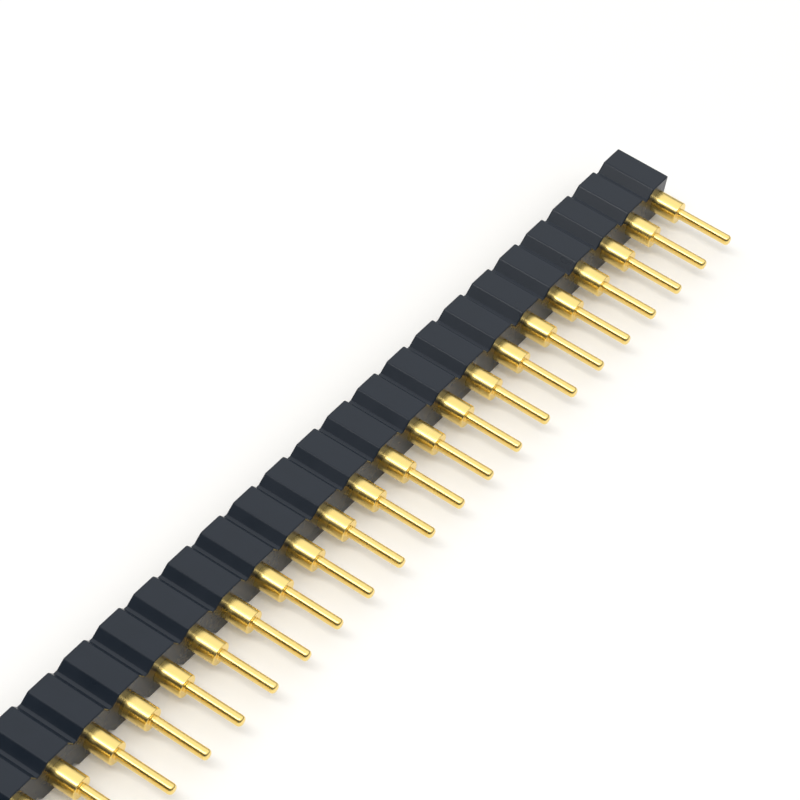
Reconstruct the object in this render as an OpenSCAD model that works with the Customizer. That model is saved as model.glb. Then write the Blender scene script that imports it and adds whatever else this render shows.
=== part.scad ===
// Socket strip: one row of turned contacts pressed into a notched, moulded bar.
//
// X runs along the row, Z is up and the solder tails point to -Y. The strip lies on one long
// side, and its origin is under the middle of the part, on the surface it lies on.
// Lengths along a contact are measured as depths from the bar's mating face, towards the tails.

/* [Row] */
// Number of contacts
positions = 40; // [1:1:50]
// Distance between neighbouring contacts
pitch = 2.54; // [2.3:0.01:4]

/* [Bar] */
// Thickness across the row
bar_t = 2.54; // [2.2:0.01:4]
// Height along the contacts
bar_h = 3.15; // [2:0.05:4]
// Wall between the last contact's ring and the end face
end_wall = 0.10; // [0.05:0.01:0.6]
// Width of a notch at the bar's face
notch_w = 1.10; // [0.6:0.01:1.3]
// Width of a notch at its floor
notch_floor_w = 0.20; // [0.05:0.01:0.5]
// Depth of a notch
notch_d = 0.46; // [0.1:0.01:0.55]
// Broken edge along each raised face
edge_break = 0.06; // [0.02:0.01:0.12]
// Radial room round a barrel in its hole
hole_gap = 0.01; // [0.005:0.005:0.015]
// Chamfer at the mouth of each hole
hole_chamfer = 0.05; // [0.02:0.01:0.08]

/* [Contacts] */
// Diameter of the barrel
barrel_d = 1.20; // [1:0.01:1.5]
// Length of the barrel, from its rim to its shoulder
barrel_len = 4.50; // [4.1:0.05:6]
// Wall of the barrel round its bore
barrel_wall = 0.15; // [0.15:0.01:0.18]
// Broken edge on the barrel's rim and shoulder
barrel_break = 0.05; // [0.02:0.01:0.06]
// Width of the lead-in chamfer on the bore
lead_in = 0.07; // [0.02:0.01:0.08]
// Diameter of the solder tail
tail_d = 0.56; // [0.4:0.01:0.7]
// Length of the solder tail
tail_len = 3.10; // [1:0.05:10]
// Rounding of the tail's tip
tip_round = 0.17; // [0.05:0.01:0.19]
// Depth of the barrel's rim below the mating face
rim_depth = 0.10; // [0:0.01:0.2]
// Height of the retaining ring above the barrel
ring_proud = 0.04; // [0.02:0.01:0.06]
// Length of the retaining ring
ring_len = 0.45; // [0.2:0.01:0.6]
// Depth at which the retaining ring starts
ring_depth = 1.10; // [0.4:0.05:1.2]

/* [Clips] */
// Fingers on a clip
fingers = 4; // [3:1:6]
// Sheet thickness
clip_wall = 0.07; // [0.04:0.01:0.1]
// Depth of the clip's top below the barrel's rim
clip_inset = 0.15; // [0.1:0.01:0.3]
// Length of the closed collar
collar_len = 1.60; // [1:0.05:1.7]
// Length of the fingers
finger_len = 1.00; // [0.6:0.05:1.1]
// Room in the bore past the finger tips
tip_room = 0.55; // [0.1:0.05:0.6]
// Diameter left between the finger tips
grip_d = 0.42; // [0.3:0.01:0.44]
// Gap between neighbouring fingers
finger_gap = 0.12; // [0.05:0.01:0.16]
// Gap at the collar's rolled seam
seam_gap = 0.04; // [0.02:0.01:0.08]

/* [Hidden] */
$fn = 48;
past = 0.1; // how far a cut runs past the face it opens
tip_steps = 5;
clips_per_node = 10;

half_t = bar_t / 2;
shoulder = rim_depth + barrel_len;
overall = shoulder + tail_len;
mating_y = overall / 2;
barrel_r = barrel_d / 2;
hole_r = barrel_r + hole_gap;
ring_r = barrel_r + ring_proud;
ring_end = ring_depth + ring_len;
end_len = ring_r + end_wall;
tail_r = tail_d / 2;
bore_r = barrel_r - barrel_wall;
grip_r = grip_d / 2;
clip_top = rim_depth + clip_inset;
collar_end = clip_top + collar_len;
clip_end = collar_end + finger_len;
bore_end = clip_end + tip_room;
drill_point = bore_end + bore_r / 2;
groups = ceil(positions / clips_per_node);

function two_digits(n) = n < 10 ? str("0", n) : str(n);
function pin_node(i) = str("pin_", two_digits(i + 1));
function group_first(g) = g * clips_per_node;
function group_last(g) = min(positions, group_first(g) + clips_per_node) - 1;
function clips_node(g) =
    str("clips_", two_digits(group_first(g) + 1), "_to_", two_digits(group_last(g) + 1));
function contact_x(i) = (i - (positions - 1) / 2) * pitch;

// The edge of a raised face, as points [x from the contact's axis, height above the middle plane].
pad_half = (pitch - notch_w) / 2;
slope = [(notch_w - notch_floor_w) / 2, -notch_d];
notch_side = [
    [pad_half - edge_break, half_t],
    [pad_half, half_t] + slope * edge_break / norm(slope),
    [pad_half, half_t] + slope
];
end_side = [[end_len - edge_break, half_t], [end_len, half_t - edge_break]];

function reversed(points) = [for (k = [len(points) - 1 : -1 : 0]) points[k]];
function right_side(i) =
    [for (p = i == positions - 1 ? end_side : notch_side) [contact_x(i) + p.x, p.y]];
function left_side(i) =
    reversed([for (p = i == 0 ? end_side : notch_side) [contact_x(i) - p.x, p.y]]);
long_face = [for (i = [0 : positions - 1]) each concat(left_side(i), right_side(i))];
bar_outline = concat(long_face, reversed([for (p = long_face) [p.x, -p.y]]));

// Places a shape drawn along a contact: its origin is on the mating face and its Z is the depth.
module at_contact(i) {
    translate([contact_x(i), mating_y, half_t]) rotate([90, 0, 0]) children();
}

module contact_hole() {
    rotate_extrude() polygon([
        [0, -past],
        [hole_r + hole_chamfer + past, -past],
        [hole_r, hole_chamfer],
        [hole_r, ring_depth],
        [ring_r, ring_depth],
        [ring_r, ring_end],
        [hole_r, ring_end],
        [hole_r, bar_h + past],
        [0, bar_h + past]
    ]);
}

module housing() {
    color("#2b2f34") difference() {
        translate([0, mating_y, half_t]) rotate([90, 0, 0])
            linear_extrude(bar_h) polygon(bar_outline);
        for (i = [0 : positions - 1]) at_contact(i) contact_hole();
    }
}

// A turned contact: barrel with its retaining ring and blind bore, and the solder tail.
module pin() {
    tip = [for (k = [0 : tip_steps]) let (a = 90 * k / tip_steps)
        [tail_r - tip_round * (1 - cos(a)), overall - tip_round * (1 - sin(a))]];
    color("#e0b24a") rotate_extrude() polygon(concat(
        [
            [0, drill_point],
            [bore_r, bore_end],
            [bore_r, rim_depth + lead_in],
            [bore_r + lead_in, rim_depth],
            [barrel_r - barrel_break, rim_depth],
            [barrel_r, rim_depth + barrel_break],
            [barrel_r, ring_depth],
            [ring_r, ring_depth],
            [ring_r, ring_end],
            [barrel_r, ring_end],
            [barrel_r, shoulder - barrel_break],
            [barrel_r - barrel_break, shoulder],
            [tail_r, shoulder]
        ],
        tip,
        [[0, overall]]
    ));
}

// A spring clip: a collar, rolled with an open seam, and fingers that close in on the mating pin.
module clip() {
    color("#d8a33c") difference() {
        rotate_extrude() polygon([
            [bore_r - clip_wall, clip_top],
            [bore_r, clip_top],
            [bore_r, collar_end],
            [grip_r + clip_wall, clip_end],
            [grip_r, clip_end],
            [bore_r - clip_wall, collar_end]
        ]);
        for (k = [0 : fingers - 1]) rotate(90 + 360 * k / fingers)
            translate([0, -finger_gap / 2, collar_end]) cube([barrel_r, finger_gap, finger_len + past]);
        translate([-seam_gap / 2, 0, clip_top - past]) cube([seam_gap, barrel_r, collar_len + 2 * past]);
    }
}

housing();
for (i = [0 : positions - 1])
    at_contact(i) pin();
for (g = [0 : groups - 1])
    for (i = [group_first(g) : group_last(g)]) at_contact(i) clip();
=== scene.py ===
import math

import bpy
from mathutils import Matrix, Vector


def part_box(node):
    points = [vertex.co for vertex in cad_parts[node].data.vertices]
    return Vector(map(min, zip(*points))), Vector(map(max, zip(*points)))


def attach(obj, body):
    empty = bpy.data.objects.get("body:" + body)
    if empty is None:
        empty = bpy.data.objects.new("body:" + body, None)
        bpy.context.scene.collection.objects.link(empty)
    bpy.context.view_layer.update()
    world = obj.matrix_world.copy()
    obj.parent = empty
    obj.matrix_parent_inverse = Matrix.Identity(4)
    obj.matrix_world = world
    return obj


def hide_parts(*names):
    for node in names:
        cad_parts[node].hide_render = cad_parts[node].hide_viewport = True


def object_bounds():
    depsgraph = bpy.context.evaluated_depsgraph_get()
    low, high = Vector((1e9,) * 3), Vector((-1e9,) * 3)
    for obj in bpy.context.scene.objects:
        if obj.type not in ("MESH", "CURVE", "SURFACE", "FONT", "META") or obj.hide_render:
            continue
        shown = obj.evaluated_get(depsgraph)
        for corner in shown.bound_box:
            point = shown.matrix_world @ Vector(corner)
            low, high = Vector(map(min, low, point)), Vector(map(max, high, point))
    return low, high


# Socket strip: a notched, moulded bar with a row of turned, gold-plated contacts.
#
# Everything is in metres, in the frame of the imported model. The geometry trees work in
# millimetres and scale their result at the end.

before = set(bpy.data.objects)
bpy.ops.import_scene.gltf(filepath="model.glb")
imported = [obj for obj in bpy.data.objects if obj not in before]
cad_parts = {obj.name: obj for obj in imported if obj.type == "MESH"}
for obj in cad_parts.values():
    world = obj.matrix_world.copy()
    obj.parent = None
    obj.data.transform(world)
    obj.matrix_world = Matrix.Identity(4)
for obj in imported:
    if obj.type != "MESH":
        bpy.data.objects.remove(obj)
cad_lo, cad_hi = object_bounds()

MM = 0.001

# ---------------------------------------------------------------- sizes, in millimetres

pin_nodes = sorted(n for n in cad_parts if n.startswith("pin_"))
clip_nodes = sorted(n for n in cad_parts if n.startswith("clips_"))
bar_lo, bar_hi = (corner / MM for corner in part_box("housing"))
first_lo, first_hi = (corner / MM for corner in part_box(pin_nodes[0]))
last_lo, last_hi = (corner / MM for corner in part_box(pin_nodes[-1]))

POSITIONS = len(pin_nodes)
FIRST_X = (first_lo.x + first_hi.x) / 2
MATING_Y = bar_hi.y
RING_DEPTH, RING_LENGTH = 1.10, 0.45
BORE_DIAMETER = 0.90

# Depths are measured along a contact, from the bar's mating face towards the solder tails.
ROW = {
    "Positions": POSITIONS,
    "Pitch": ((last_lo.x + last_hi.x) / 2 - FIRST_X) / (POSITIONS - 1),
    "First Contact": FIRST_X,
    "Mating Face": MATING_Y,
    "Middle Height": (bar_lo.z + bar_hi.z) / 2,
}
BAR = ROW | {
    "Thickness": bar_hi.z - bar_lo.z,
    "Height": bar_hi.y - bar_lo.y,
    "End Length": FIRST_X - bar_lo.x,
    "Notch Width": 1.10,
    "Notch Floor Width": 0.20,
    "Notch Depth": 0.46,
    "Hole Diameter": 1.22,
    "Hole Chamfer": 0.05,
    "Groove Diameter": 1.28,
    "Groove Depth": RING_DEPTH,
    "Groove Length": RING_LENGTH,
}
CONTACT = ROW | {
    "Rim Depth": MATING_Y - first_hi.y,
    "Tail End": MATING_Y - first_lo.y,
    "Barrel Diameter": 1.20,
    "Barrel Length": 4.50,
    "Ring Diameter": first_hi.x - first_lo.x,
    "Ring Depth": RING_DEPTH,
    "Ring Length": RING_LENGTH,
    "Bore Diameter": BORE_DIAMETER,
    "Bore Depth": 3.40,
    "Lead-in": 0.07,
    "Tail Diameter": 0.56,
    "Edge Rounding": 0.05,
    "Tip Rounding": 0.17,
}
CLIP = ROW | {
    "Outer Diameter": BORE_DIAMETER,
    "Sheet Thickness": 0.07,
    "Top Depth": 0.25,
    "Collar Length": 1.60,
    "Finger Length": 1.00,
    "Grip Diameter": 0.42,
    "Fingers": 4,
    "Finger Gap": 0.12,
    "Seam Gap": 0.04,
}
BAR_EDGE_ROUNDING = 0.07

FACES_ROUND_CONTACT = 40
FACES_ROUND_HOLE = 48
ROUNDING_STEPS = 3
WELD = 0.0005  # points closer than this become one
BEND = 0.3  # radians; a sharper outward edge of the bar is rounded
BATCH_SEED = 7

# ---------------------------------------------------------------- node trees


class Value:
    """An output socket that works in sums, with other sockets or with numbers."""

    def __init__(self, nodes, socket):
        self.nodes, self.socket = nodes, socket

    def sum_node(self, operation, *terms):
        node = self.nodes.new("ShaderNodeMath")
        node.operation = operation
        for slot, term in zip(node.inputs, terms):
            feed(slot, term)
        return Value(self.nodes, node.outputs[0])

    def __add__(self, other):
        return self.sum_node("ADD", self, other)

    def __sub__(self, other):
        return self.sum_node("SUBTRACT", self, other)

    def __rsub__(self, other):
        return self.sum_node("SUBTRACT", other, self)

    def __mul__(self, other):
        return self.sum_node("MULTIPLY", self, other)

    def __truediv__(self, other):
        return self.sum_node("DIVIDE", self, other)

    def function(self, operation, *others):
        return self.sum_node(operation, self, *others)

    def at_most(self, limit):
        return self.function("MINIMUM", limit)

    def at_least(self, limit):
        return self.function("MAXIMUM", limit)


def feed(slot, value):
    """Links a socket to an input, or writes a plain number, colour or name there."""
    if isinstance(value, Value):
        slot.node.id_data.links.new(value.socket, slot)
    elif value is not None:
        slot.default_value = value


class Tree:
    """A node tree that is built call by call."""

    def __init__(self, group):
        self.group, self.nodes = group, group.nodes

    def add(self, kind, *values, **settings):
        """A node with its settings; values fill its inputs in order, and None skips one."""
        node = self.nodes.new(kind)
        named = settings.pop("named", {})
        for key, setting in settings.items():
            setattr(node, key, setting)
        for slot, value in zip(node.inputs, values):
            feed(slot, value)
        for name, value in named.items():
            feed(node.inputs[name], value)
        return node

    def get(self, kind, *values, out=0, **settings):
        return Value(self.nodes, self.add(kind, *values, **settings).outputs[out])

    def coordinate(self, kind):
        return Value(self.nodes, self.add("ShaderNodeTexCoord").outputs[kind])

    def vector(self, x, y, z):
        return self.get("ShaderNodeCombineXYZ", x, y, z)

    def parts_of(self, vector):
        node = self.add("ShaderNodeSeparateXYZ", vector)
        return [Value(self.nodes, slot) for slot in node.outputs]

    def dot(self, first, second):
        return self.get(
            "ShaderNodeVectorMath", first, second, operation="DOT_PRODUCT", out=1
        )

    def noise(self, where, **named):
        return self.get("ShaderNodeTexNoise", where, named=named)


class GeometryTree(Tree):
    """A Geometry Nodes tree with one named input for each size, and a material."""

    def __init__(self, name, sizes):
        group = bpy.data.node_groups.new(name, "GeometryNodeTree")
        super().__init__(group)
        face = group.interface
        face.new_socket("Geometry", in_out="OUTPUT", socket_type="NodeSocketGeometry")
        for size, value in sizes.items():
            kind = "NodeSocketInt" if isinstance(value, int) else "NodeSocketFloat"
            face.new_socket(size, in_out="INPUT", socket_type=kind).default_value = value
        face.new_socket("Material", in_out="INPUT", socket_type="NodeSocketMaterial")
        self.inlet = group.nodes.new("NodeGroupInput")
        self.outlet = group.nodes.new("NodeGroupOutput")

    def size(self, name):
        return Value(self.nodes, self.inlet.outputs[name])

    def moved(self, shape, where):
        return self.get("GeometryNodeTransform", shape, where)

    def marked(self, shape, name, value, domain):
        return self.get(
            "GeometryNodeStoreNamedAttribute", shape, None, name, value,
            data_type="FLOAT", domain=domain,
        )

    def cut_by(self, shape, tools):
        cut = self.add(
            "GeometryNodeMeshBoolean", shape, operation="DIFFERENCE", solver="EXACT"
        )
        for tool in tools:
            self.group.links.new(tool.socket, cut.inputs["Mesh 2"])
        return Value(self.nodes, cut.outputs[0])

    def chosen_by_index(self, kind, choices):
        """The choice whose number is the point's own index."""
        chooser = self.nodes.new("GeometryNodeIndexSwitch")
        chooser.data_type = kind
        while len(chooser.index_switch_items) < len(choices):
            chooser.index_switch_items.new()
        feed(chooser.inputs[0], self.get("GeometryNodeInputIndex"))
        for slot, choice in zip(list(chooser.inputs)[1:], choices):
            feed(slot, choice)
        return Value(self.nodes, chooser.outputs[0])

    def line_through(self, corners):
        places = [self.vector(corner[0], corner[1], 0.0) for corner in corners]
        line = self.get("GeometryNodeMeshLine", len(corners))
        place = self.chosen_by_index("VECTOR", places)
        return self.get("GeometryNodeSetPosition", line, None, place)

    def outline(self, corners):
        """The points of a line with sharp (radius, depth) corners, and their number."""
        return self.get("GeometryNodeMeshToPoints", self.line_through(corners)), len(corners)

    def rounded_outline(self, corners):
        """The same for (radius, depth, rounding) corners."""
        line = self.line_through(corners)
        roundings = self.chosen_by_index("FLOAT", [corner[2] for corner in corners])
        line = self.marked(line, "rounding", roundings, "POINT")
        curve = self.get("GeometryNodeMeshToCurve", line)
        rounding = self.get("GeometryNodeInputNamedAttribute", "rounding", data_type="FLOAT")
        curve = self.get(
            "GeometryNodeFilletCurve", curve, ROUNDING_STEPS, rounding, True, mode="POLY"
        )
        points = self.get("GeometryNodeCurveToPoints", curve, mode="EVALUATED")
        count = self.get("GeometryNodeAttributeDomainSize", points, component="POINTCLOUD")
        return points, count

    def turned(self, points, count, around):
        """A solid of revolution: its axis is Y, and depths run to -Y from the mating face."""
        grid = self.get("GeometryNodeMeshGrid", 1.0, 1.0, count, around + 1)
        across, along, _ = self.parts_of(self.get("GeometryNodeInputPosition"))
        step = (across + 0.5) * (count - 1)
        index = self.get("FunctionNodeFloatToInt", step, rounding_mode="ROUND")
        where = self.get("GeometryNodeInputPosition")
        corner = self.get(
            "GeometryNodeSampleIndex", points, where, index, data_type="FLOAT_VECTOR"
        )
        radius, depth, _ = self.parts_of(corner)
        angle = (along + 0.5) * (2 * math.pi)
        spot = self.vector(
            radius * angle.function("COSINE"), 0.0 - depth, radius * angle.function("SINE")
        )
        skin = self.get("GeometryNodeSetPosition", grid, None, spot)
        skin = self.get("GeometryNodeFlipFaces", skin)
        return self.get("GeometryNodeMergeByDistance", skin, None, WELD)

    def row(self, shape, count, start):
        """The shape once for each place along the row."""
        line = self.get(
            "GeometryNodeMeshLine", count, None,
            self.vector(start, self.size("Mating Face"), self.size("Middle Height")),
            self.vector(self.size("Pitch"), 0.0, 0.0),
        )
        return self.get("GeometryNodeInstanceOnPoints", line, None, shape)

    def one_for_each_contact(self, shape):
        return self.row(shape, self.size("Positions"), self.size("First Contact"))

    def finish(self, geometry):
        whole = self.get("GeometryNodeRealizeInstances", geometry)
        whole = self.get("GeometryNodeTransform", whole, None, None, (MM, MM, MM))
        whole = self.get("GeometryNodeSetMaterial", whole, None, self.size("Material"))
        feed(self.outlet.inputs[0], whole)
        return self.group


def contact_tree():
    t = GeometryTree("turned contacts", CONTACT)
    size = t.size
    rim = size("Rim Depth")
    barrel, ring = size("Barrel Diameter") / 2, size("Ring Diameter") / 2
    bore, tail = size("Bore Diameter") / 2, size("Tail Diameter") / 2
    lead, edge, tip = size("Lead-in"), size("Edge Rounding"), size("Tip Rounding")
    ring_start = size("Ring Depth")
    ring_end = ring_start + size("Ring Length")
    shoulder = rim + size("Barrel Length")
    end, bore_end = size("Tail End"), size("Bore Depth")
    in_bore, at_rim, ring_root, ring_edge = 0.02, 0.012, 0.01, 0.015
    # a short straight run beside each rounding keeps the long faces' shading level
    run = 0.03
    sharp = 0.0
    points, count = t.rounded_outline([
        (0.0, bore_end + bore / 2, sharp),
        (bore, bore_end, in_bore),
        (bore, rim + lead, in_bore),
        (bore + lead, rim, at_rim),
        (barrel, rim, edge),
        (barrel, ring_start, ring_root),
        (ring, ring_start, ring_edge),
        (ring, ring_end, ring_edge),
        (barrel, ring_end, ring_root),
        (barrel, ring_end + run, sharp),
        (barrel, shoulder - edge - run, sharp),
        (barrel, shoulder, edge),
        (barrel - edge - run, shoulder, sharp),
        (tail + run * 2, shoulder, sharp),
        (tail, shoulder, run),
        (tail, shoulder + run * 2, sharp),
        (tail, end - tip - run, sharp),
        (tail, end, tip),
        (0.0, end, sharp),
    ])
    skin = t.turned(points, count, FACES_ROUND_CONTACT)
    skin = t.get("GeometryNodeSetShadeSmooth", skin, None, True)
    # each contact's own share of the batch's differences in tone
    tone = t.get(
        "FunctionNodeRandomValue", None, None, 0.0, 1.0,
        data_type="FLOAT", out=1, named={"Seed": BATCH_SEED},
    )
    return t.finish(t.marked(t.one_for_each_contact(skin), "batch", tone, "INSTANCE"))


def clip_tree():
    t = GeometryTree("spring clips", CLIP)
    size = t.size
    outer, sheet = size("Outer Diameter") / 2, size("Sheet Thickness")
    grip = size("Grip Diameter") / 2
    top, collar, finger = size("Top Depth"), size("Collar Length"), size("Finger Length")
    collar_end = top + collar
    tip = collar_end + finger
    points, count = t.outline([
        (outer - sheet, top),
        (outer, top),
        (outer, collar_end),
        (grip + sheet, tip),
        (grip, tip),
        (outer - sheet, collar_end),
        (outer - sheet, top),
    ])
    sleeve = t.turned(points, count, FACES_ROUND_CONTACT)
    # the slits between the fingers, cut by a blade for each, and the collar's rolled seam
    reach = outer * 2
    blade = t.get("GeometryNodeMeshCube", t.vector(reach, finger * 2, size("Finger Gap")))
    blade = t.moved(blade, t.vector(reach / 2, 0.0 - (collar_end + finger), 0.0))
    nowhere = (0.0, 0.0, 0.0)
    spokes = t.get("GeometryNodeMeshLine", size("Fingers"), None, nowhere, nowhere)
    turn = t.get("GeometryNodeInputIndex") * (2 * math.pi) / size("Fingers")
    facing = t.get("FunctionNodeEulerToRotation", t.vector(0.0, turn, 0.0))
    slits = t.get(
        "GeometryNodeInstanceOnPoints", spokes, named={"Instance": blade, "Rotation": facing}
    )
    slits = t.get("GeometryNodeRealizeInstances", slits)
    seam = t.get("GeometryNodeMeshCube", t.vector(size("Seam Gap"), collar * 1.2, reach))
    seam = t.moved(seam, t.vector(0.0, 0.0 - (top + collar / 2), 0.0 - reach / 2))
    return t.finish(t.one_for_each_contact(t.cut_by(sleeve, (slits, seam))))


def notch_cutter(t, beyond):
    """A wedge for one notch in the upper face, and its twin for the notch below it."""
    size = t.size
    half_gap, half_floor = size("Notch Width") / 2, size("Notch Floor Width") / 2
    depth, height, thick = size("Notch Depth"), size("Height"), size("Thickness")
    cube = t.get("GeometryNodeMeshCube", (1.0, 1.0, 1.0))
    x, y, z = t.parts_of(t.get("GeometryNodeInputPosition"))
    rise = z + 0.5  # 0 at the notch's floor, 1 at the cutter's top, which stands one depth proud
    half = half_floor + (half_gap - half_floor) * 2.0 * rise
    place = t.vector(
        x * 2.0 * half,
        y * (height + beyond * 2) - height / 2,
        thick / 2 - depth + rise * 2.0 * depth,
    )
    upper = t.get("GeometryNodeSetPosition", cube, None, place)
    lower = t.get("GeometryNodeTransform", upper, None, (0.0, math.pi, 0.0))
    both = t.add("GeometryNodeJoinGeometry")
    for wedge in (upper, lower):
        t.group.links.new(wedge.socket, both.inputs[0])
    return Value(t.nodes, both.outputs[0])


def bar_tree():
    t = GeometryTree("notched bar", BAR)
    size = t.size
    pitch, positions = size("Pitch"), size("Positions")
    start, mating, middle = size("First Contact"), size("Mating Face"), size("Middle Height")
    height, end = size("Height"), size("End Length")
    span = pitch * (positions - 1)
    block = t.get("GeometryNodeMeshCube", t.vector(span + end * 2, height, size("Thickness")))
    block = t.moved(block, t.vector(start + span / 2, mating - height / 2, middle))
    # a hole with its entry chamfer and the groove that keeps the contact's ring
    hole, groove = size("Hole Diameter") / 2, size("Groove Diameter") / 2
    groove_start = size("Groove Depth")
    groove_end = groove_start + size("Groove Length")
    mouth = size("Hole Chamfer")
    beyond = 0.3  # how far a cutter runs past the face it opens
    points, count = t.outline([
        (0.0, 0.0 - beyond),
        (hole + mouth + beyond, 0.0 - beyond),
        (hole, mouth),
        (hole, groove_start),
        (groove, groove_start),
        (groove, groove_end),
        (hole, groove_end),
        (hole, height + beyond),
        (0.0, height + beyond),
    ])
    drills = t.one_for_each_contact(t.turned(points, count, FACES_ROUND_HOLE))
    notches = t.row(notch_cutter(t, beyond), positions - 1, start + pitch / 2)
    bar = t.cut_by(
        block, [t.get("GeometryNodeRealizeInstances", tools) for tools in (notches, drills)]
    )
    # the edges to be rounded stand proud, and they are clear of the holes
    x, _, z = t.parts_of(t.get("GeometryNodeInputPosition"))
    nearest = ((x - start) / pitch).function("ROUND") * pitch + start
    across, up = x - nearest, z - middle
    from_axis = (across.function("POWER", 2.0) + up.function("POWER", 2.0)).function("SQRT")
    clear = from_axis.function("GREATER_THAN", groove + mouth)
    proud = t.get("GeometryNodeInputMeshEdgeAngle", out=1).function("GREATER_THAN", BEND)
    return t.finish(t.marked(bar, "bevel_weight_edge", clear * proud, "EDGE"))


def made_by(tree, name, material, sizes, bevel=None):
    """The plain mesh that a tree and its bevel make, as an object at the origin."""
    maker = bpy.data.objects.new(name + "_maker", bpy.data.meshes.new(name))
    bpy.context.scene.collection.objects.link(maker)
    nodes = maker.modifiers.new("nodes", "NODES")
    nodes.node_group = tree
    for item in tree.interface.items_tree:
        if item.in_out == "INPUT":
            nodes[item.identifier] = material if item.name == "Material" else sizes[item.name]
    if bevel:
        rounding = maker.modifiers.new("bevel", "BEVEL")
        for key, setting in bevel.items():
            setattr(rounding, key, setting)
    graph = bpy.context.evaluated_depsgraph_get()
    done = bpy.data.meshes.new_from_object(
        maker.evaluated_get(graph), preserve_all_data_layers=True, depsgraph=graph
    )
    done.name = name
    # Set Material leaves an empty slot before its own, so the finish is given afresh
    done.materials.clear()
    done.materials.append(material)
    piece = bpy.data.objects.new(name, done)
    bpy.context.scene.collection.objects.link(piece)
    bpy.data.objects.remove(maker)
    return piece


# ---------------------------------------------------------------- materials


def effect_group(name, inputs, outputs):
    """A shader node group with number inputs and outputs, which all have names."""
    group = bpy.data.node_groups.new(name, "ShaderNodeTree")
    tree = Tree(group)
    kind = "NodeSocketFloat"
    for label, value in inputs.items():
        group.interface.new_socket(label, in_out="INPUT", socket_type=kind).default_value = value
    for label in outputs:
        group.interface.new_socket(label, in_out="OUTPUT", socket_type=kind)
    inlet = tree.add("NodeGroupInput")
    outlet = tree.add("NodeGroupOutput")
    source = {label: Value(tree.nodes, inlet.outputs[label]) for label in inputs}
    return tree, source, outlet


def edge_wear_group():
    """How worn a spot is: 1 on an edge, broken up by a fine pattern."""
    t, source, outlet = effect_group(
        "edge wear", {"Edge Width": 0.00006, "Break-up Scale": 2500.0, "Amount": 1.0}, ["Wear"]
    )
    flat = Value(t.nodes, t.add("ShaderNodeNewGeometry").outputs["Normal"])
    rounded = t.get("ShaderNodeBevel", source["Edge Width"], samples=4)
    edge = ((1.0 - t.dot(flat, rounded)) * 6.0).at_most(1.0)
    patchy = t.noise(t.coordinate("Object"), Scale=source["Break-up Scale"], Detail=3.0)
    feed(outlet.inputs["Wear"], edge * (patchy * 1.4).at_most(1.0) * source["Amount"])
    return t.group


def grain_group():
    """Fine grain with a slow drift under it, for roughness, colour and bump."""
    t, source, outlet = effect_group(
        "fine grain",
        {"Grain Scale": 9000.0, "Drift Scale": 500.0, "Drift Share": 0.5},
        ["Height", "Drift"],
    )
    where = t.coordinate("Object")
    fine = t.noise(where, Scale=source["Grain Scale"], Detail=4.0, Roughness=0.6)
    slow = t.noise(where, Scale=source["Drift Scale"], Detail=3.0)
    share = source["Drift Share"]
    feed(outlet.inputs["Height"], fine * (1.0 - share) + slow * share)
    feed(outlet.inputs["Drift"], slow)
    return t.group


def turning_group():
    """Rings left by the cutting tool, round an axis along Y; each contact has its own."""
    t, source, outlet = effect_group(
        "turning rings", {"Ring Scale": 14000.0, "Batch": 0.5}, ["Height", "Tone"]
    )
    _, along, _ = t.parts_of(t.coordinate("Object"))
    shift = source["Batch"] * 3.0
    line = t.vector(shift, along * source["Ring Scale"], shift)
    feed(outlet.inputs["Height"], t.noise(line, Scale=1.0, Detail=2.0, Roughness=0.4))
    feed(outlet.inputs["Tone"], t.noise(line, Scale=0.2, Detail=1.0))
    return t.group


EDGE_WEAR, GRAIN, TURNING = edge_wear_group(), grain_group(), turning_group()


def material_tree(name, **fixed):
    """A material with a Principled shader whose plain values are on its own sockets."""
    material = bpy.data.materials.new(name)
    material.use_nodes = True
    tree = Tree(material.node_tree)
    tree.nodes.clear()
    shader = tree.add("ShaderNodeBsdfPrincipled", named=fixed)
    out = tree.add("ShaderNodeOutputMaterial")
    material.node_tree.links.new(shader.outputs[0], out.inputs[0])
    return material, tree, shader


def effect(tree, group, **values):
    """The outputs of an effect group; an underscore stands for a space in an input's name."""
    node = tree.nodes.new("ShaderNodeGroup")
    node.node_tree = group
    for label, value in values.items():
        feed(node.inputs[label.replace("_", " ")], value)
    return [Value(tree.nodes, slot) for slot in node.outputs]


def blend_colour(tree, share, low, high):
    node = tree.nodes.new("ShaderNodeMix")
    node.data_type = "RGBA"
    feed(node.inputs["Factor"], share)
    slots = {slot.name: slot for slot in node.inputs if slot.type == "RGBA"}
    feed(slots["A"], low)
    feed(slots["B"], high)
    return Value(tree.nodes, [slot for slot in node.outputs if slot.type == "RGBA"][0])


def feed_surface(tree, shader, colour, roughness, relief, strength, reach):
    """Colour, roughness and a bump whose relief reaches so many metres high."""
    bump = tree.get(
        "ShaderNodeBump", named={"Strength": strength, "Distance": reach, "Height": relief}
    )
    feed(shader.inputs["Base Color"], colour)
    feed(shader.inputs["Roughness"], roughness)
    feed(shader.inputs["Normal"], bump)


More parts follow.
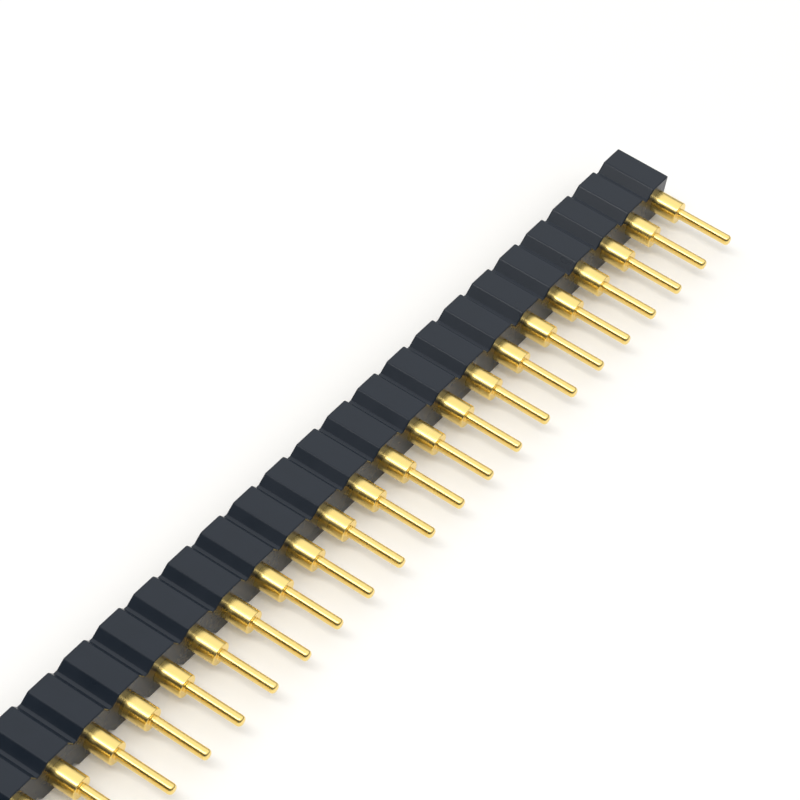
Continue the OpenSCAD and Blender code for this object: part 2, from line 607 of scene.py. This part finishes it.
def moulded_plastic():
    material, t, shader = material_tree("moulded plastic", IOR=1.42)
    height, drift = effect(t, GRAIN, Grain_Scale=11000.0, Drift_Scale=700.0, Drift_Share=0.35)
    (wear,) = effect(t, EDGE_WEAR, Edge_Width=0.00005, Amount=0.5)
    deep, grey = (0.004, 0.010, 0.019, 1), (0.009, 0.016, 0.028, 1)
    rubbed = (0.032, 0.040, 0.052, 1)
    colour = blend_colour(t, wear, blend_colour(t, drift, deep, grey), rubbed)
    # the two narrow faces, where the contacts enter and leave, are a little smoother
    _, endwise, _ = t.parts_of(t.coordinate("Normal"))
    narrow = endwise.function("ABSOLUTE").function("SMOOTH_MIN", 1.0, 0.1)
    roughness = drift * 0.12 + 0.24 - narrow * 0.02 + wear * 0.1
    feed_surface(t, shader, colour, roughness, height, strength=0.25, reach=0.000004)
    return material


def turned_gold():
    material, t, shader = material_tree("turned gold plate", Metallic=1.0)
    batch = t.get("ShaderNodeAttribute", attribute_name="batch", attribute_type="GEOMETRY", out=2)
    rings, tone = effect(t, TURNING, Batch=batch)
    (wear,) = effect(t, EDGE_WEAR, Edge_Width=0.00004, Amount=0.6)
    height, drift = effect(t, GRAIN, Grain_Scale=14000.0, Drift_Scale=900.0)
    warm, pale, rubbed = (0.93, 0.69, 0.22, 1), (0.97, 0.75, 0.29, 1), (1.0, 0.84, 0.42, 1)
    colour = blend_colour(t, wear * 0.5, blend_colour(t, drift, warm, pale), rubbed)
    roughness = tone * 0.08 + drift * 0.06 + batch * 0.03 + 0.17
    relief = rings * 0.8 + height * 0.2
    feed_surface(t, shader, colour, roughness, relief, strength=0.5, reach=0.0000012)
    return material


def spring_gold():
    material, t, shader = material_tree("spring clip gold", Metallic=1.0)
    height, drift = effect(t, GRAIN, Grain_Scale=12000.0, Drift_Scale=1500.0)
    (wear,) = effect(t, EDGE_WEAR, Edge_Width=0.00003, Amount=0.8)
    warm, pale, rubbed = (0.84, 0.55, 0.16, 1), (0.93, 0.64, 0.22, 1), (1.0, 0.80, 0.45, 1)
    colour = blend_colour(t, wear * 0.6, blend_colour(t, drift, warm, pale), rubbed)
    feed_surface(t, shader, colour, drift * 0.1 + 0.16, height, strength=0.3, reach=0.0000012)
    return material


# ---------------------------------------------------------------- the object

plastic, gold, clip_gold = moulded_plastic(), turned_gold(), spring_gold()

bar = made_by(
    bar_tree(), "bar", plastic, BAR,
    bevel={"width": BAR_EDGE_ROUNDING * MM, "segments": ROUNDING_STEPS,
           "limit_method": "WEIGHT", "use_clamp_overlap": False, "harden_normals": False},
)
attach(bar, "root")
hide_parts("housing")

contacts = made_by(contact_tree(), "contacts", gold, CONTACT)
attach(contacts, "root")
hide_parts(*pin_nodes)

clips = made_by(clip_tree(), "clips", clip_gold, CLIP)
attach(clips, "root")
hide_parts(*clip_nodes)

# ---------------------------------------------------------------- floor, light and camera


def floor_piece():
    half, level = 3.0, cad_lo.z
    mesh = bpy.data.meshes.new("floor")
    corners = [(-half, -half), (half, -half), (half, half), (-half, half)]
    mesh.from_pydata([(x, y, level) for x, y in corners], [], [(0, 1, 2, 3)])
    floor = bpy.data.objects.new("floor", mesh)
    bpy.context.scene.collection.objects.link(floor)
    material, t, shader = material_tree("pale floor", Roughness=0.6)
    rays = t.add("ShaderNodeLightPath").outputs
    camera_ray, glossy_ray, through_ray = (
        Value(t.nodes, rays[kind])
        for kind in ("Is Camera Ray", "Is Glossy Ray", "Is Transmission Ray")
    )
    seen = camera_ray.at_least(glossy_ray).at_least(through_ray)
    feed(shader.inputs["Base Color"], (0.95, 0.94, 0.915, 1))
    feed(shader.inputs["Emission Color"], (1.0, 1.0, 1.0, 1))
    feed(shader.inputs["Emission Strength"], seen * 0.05)
    mesh.materials.append(material)


def softbox(name, start, end, distance, width, radiance):
    """A narrow lamp that faces the row and lies along the arc between two directions."""
    start, end = Vector(start).normalized(), Vector(end).normalized()
    toward = (start + end).normalized()
    length = (end - start).length * distance
    lamp = bpy.data.lights.new(name, "AREA")
    lamp.shape, lamp.size, lamp.size_y = "RECTANGLE", width, length
    lamp.energy = radiance * math.pi * width * length
    holder = bpy.data.objects.new(name, lamp)
    bpy.context.scene.collection.objects.link(holder)
    holder.location = AIM + toward * distance
    # local Z away from the row, local Y along the arc
    along = (end - start).normalized()
    across = along.cross(toward).normalized()
    holder.rotation_mode = "QUATERNION"
    holder.rotation_quaternion = Matrix((across, along, toward)).transposed().to_quaternion()


def studio_world():
    """Bright overhead and beyond the last contact, dim towards the horizon on the other side.

    The camera itself sees plain white.
    """
    world = bpy.data.worlds.new("studio")
    bpy.context.scene.world = world
    world.use_nodes = True
    t = Tree(world.node_tree)
    t.nodes.clear()
    direction = t.coordinate("Generated")
    brightest = Vector((0.30, 0.0, 0.95)).normalized()
    dark_until, fade, sky, dimmest = 0.27, 0.36, 1.08, 0.04
    glow = ((t.dot(direction, brightest) - dark_until) / fade).at_most(1.0).at_least(0.0)
    _, _, up = t.parts_of(direction)
    level = glow * (up * 1.6).at_most(1.0).at_least(0.0) * sky + dimmest
    seen = Value(t.nodes, t.add("ShaderNodeLightPath").outputs["Is Camera Ray"])
    strength = level * (1.0 - seen) + seen
    back = t.add("ShaderNodeBackground", (1.0, 1.0, 1.0, 1), strength)
    out = t.add("ShaderNodeOutputWorld")
    world.node_tree.links.new(back.outputs[0], out.inputs[0])


AIM = Vector((27.885, 2.408, 1.27)) * MM


def camera():
    azimuth, elevation, roll = (math.radians(a) for a in (-63.92, 44.28, 11.90))
    distance = 170.6 * MM
    toward = Vector((
        math.sin(azimuth) * math.cos(elevation),
        -math.cos(azimuth) * math.cos(elevation),
        math.sin(elevation),
    ))
    data = bpy.data.cameras.new("camera")
    data.sensor_width, data.lens = 36.0, 157.2
    data.clip_start, data.clip_end = 0.01, 20.0
    holder = bpy.data.objects.new("camera", data)
    bpy.context.scene.collection.objects.link(holder)
    turn = toward.to_track_quat("Z", "Y").to_matrix().to_4x4() @ Matrix.Rotation(roll, 4, "Z")
    holder.matrix_world = Matrix.Translation(AIM + toward * distance) @ turn
    bpy.context.scene.camera = holder


floor_piece()
softbox(
    "strip softbox", start=(-0.53, 0.45, 0.72), end=(-0.27, -0.45, 0.86),
    distance=0.8, width=0.13, radiance=6.5,
)
studio_world()
camera()
bpy.context.scene.view_settings.view_transform = "Standard"
